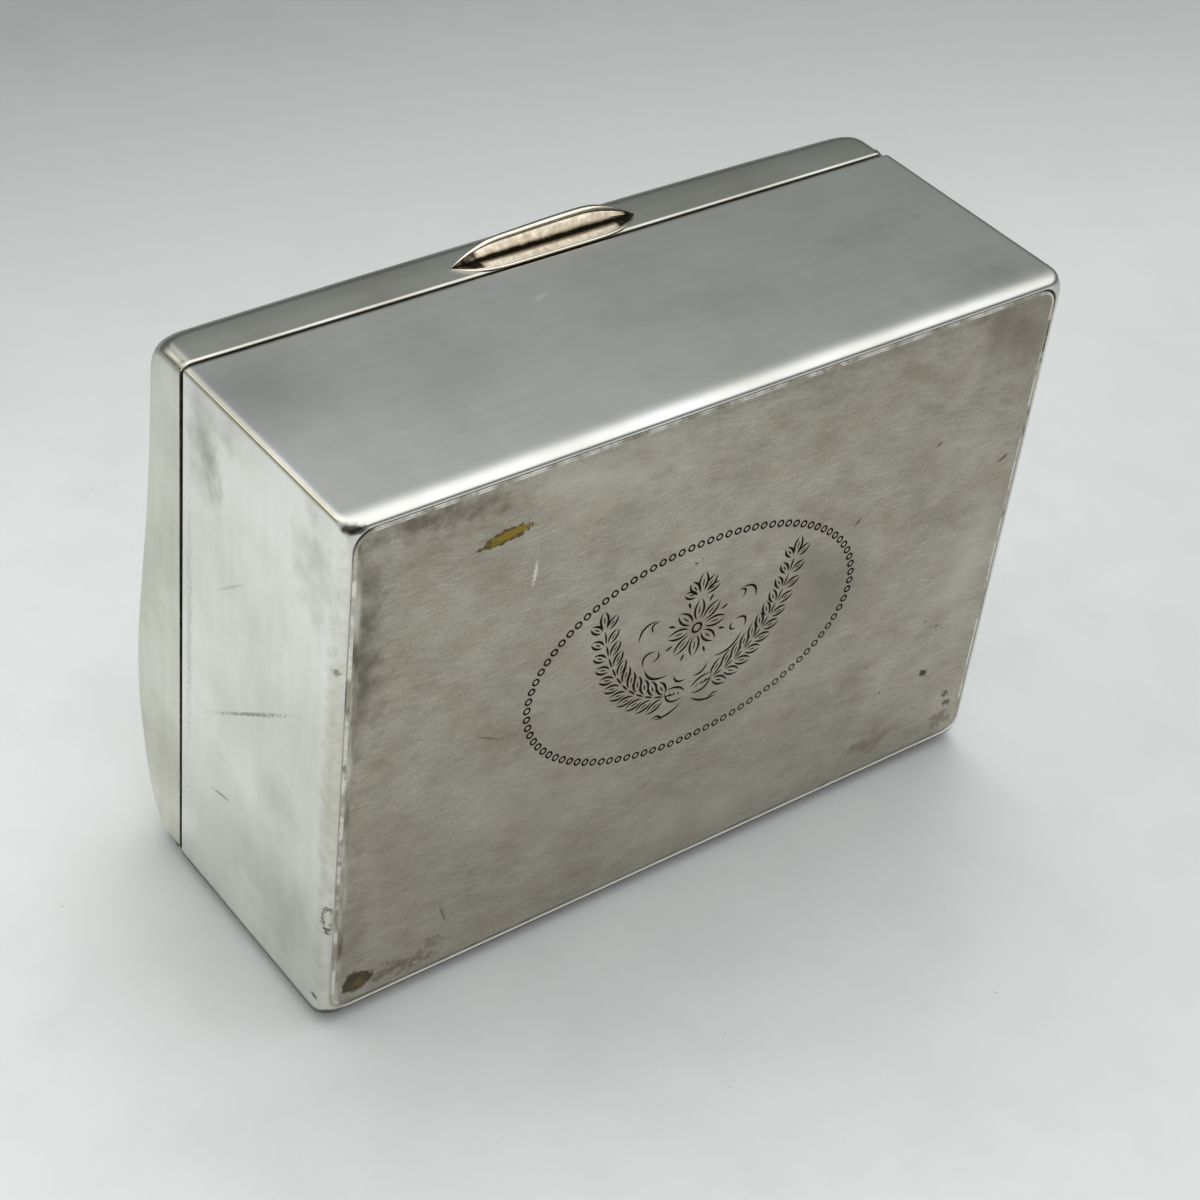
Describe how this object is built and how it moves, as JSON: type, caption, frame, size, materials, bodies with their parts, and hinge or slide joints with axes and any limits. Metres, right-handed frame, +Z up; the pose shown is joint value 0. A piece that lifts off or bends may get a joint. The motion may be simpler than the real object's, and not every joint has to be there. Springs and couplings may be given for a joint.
{
  "type": "cigarette box",
  "caption": "Rectangular silver-plated table box with a low domed lid hinged at the back, an almond-shaped thumb lift and a cedar lining with a divider.",
  "frame": {"origin": "middle of the base plate's underside, on the table", "axes": "+X along the width to the right as seen from the front, -Y out of the front with the thumb piece, +Y to the hinge, +Z up"},
  "size_m": [0.127, 0.0953, 0.057],
  "materials": {
    "polished_plate": "silver plate, soft polish with fine scratches",
    "worn_plate": "worn silver plate, brushed along the width, tarnish spots",
    "plated_brass": "silver-plated brass, satin",
    "steel_wire": "drawn wire",
    "cedar": "planed, unvarnished"
  },
  "bodies": {
    "box_base": {"body_shell": "polished_plate", "base_plate": "worn_plate", "hinge_bearer_body": "plated_brass", "hinge_knuckle_1": "plated_brass", "hinge_knuckle_3": "plated_brass", "hinge_knuckle_5": "plated_brass", "hinge_knuckle_7": "plated_brass", "hinge_pin": "steel_wire", "cedar_floor": "cedar", "cedar_front": "cedar", "cedar_back": "cedar", "cedar_left": "cedar", "cedar_right": "cedar", "cedar_divider": "cedar"},
    "lid": {"lid_shell": "polished_plate", "thumb_piece": "polished_plate", "hinge_bearer_lid": "plated_brass", "hinge_knuckle_2": "plated_brass", "hinge_knuckle_4": "plated_brass", "hinge_knuckle_6": "plated_brass"}
  },
  "joints": [
    {"name": "lid_hinge", "type": "hinge", "parent": "box_base", "child": "lid", "pos_m": [0, 0.0455, 0.04065], "axis": [-1, 0, 0], "range_deg": [0, 105]}
  ]
}
